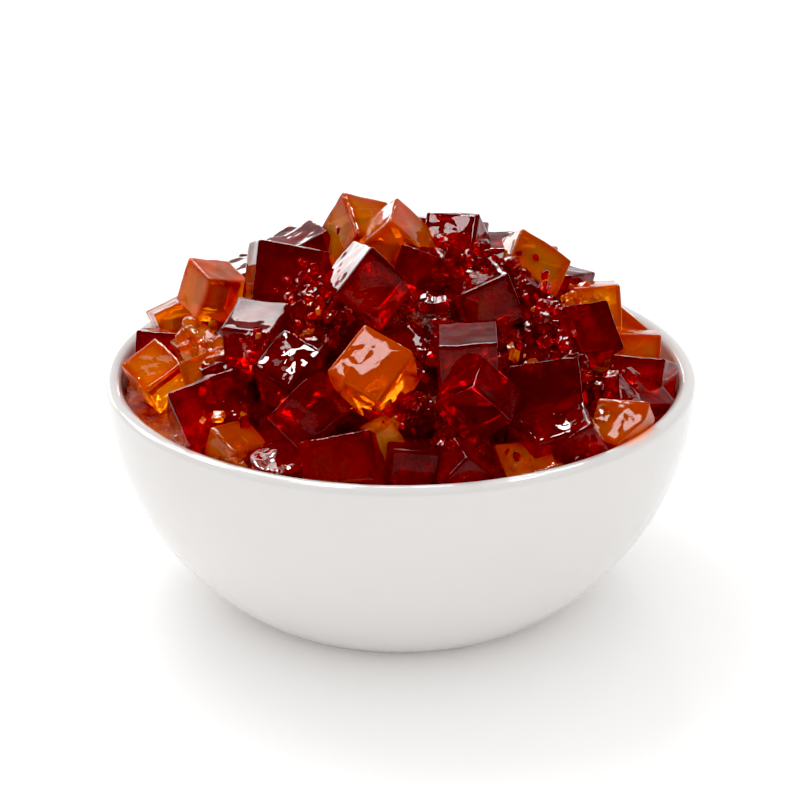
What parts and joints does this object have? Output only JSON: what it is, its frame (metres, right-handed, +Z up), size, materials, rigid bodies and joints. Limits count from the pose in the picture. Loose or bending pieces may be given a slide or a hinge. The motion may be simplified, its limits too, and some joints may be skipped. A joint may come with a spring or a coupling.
{
  "type": "bowl of jelly cubes",
  "caption": "Round white glazed bowl heaped with cut jelly cubes, ruby and amber, with broken jelly between them; one dish that rests on its foot ring.",
  "frame": {"origin": "centre of the foot ring's underside, on the bowl's axis, where it rests on the table", "axes": "+Z up along the bowl's axis, -Y towards the front of the dish, +X to the right seen from the front"},
  "size_m": [0.15, 0.15, 0.1024],
  "materials": {
    "white_glaze": "smooth glossy white glaze all over",
    "jelly": null
  },
  "bodies": {
    "root": {"bowl": "white_glaze", "jelly_heap": "jelly"}
  },
  "joints": []
}
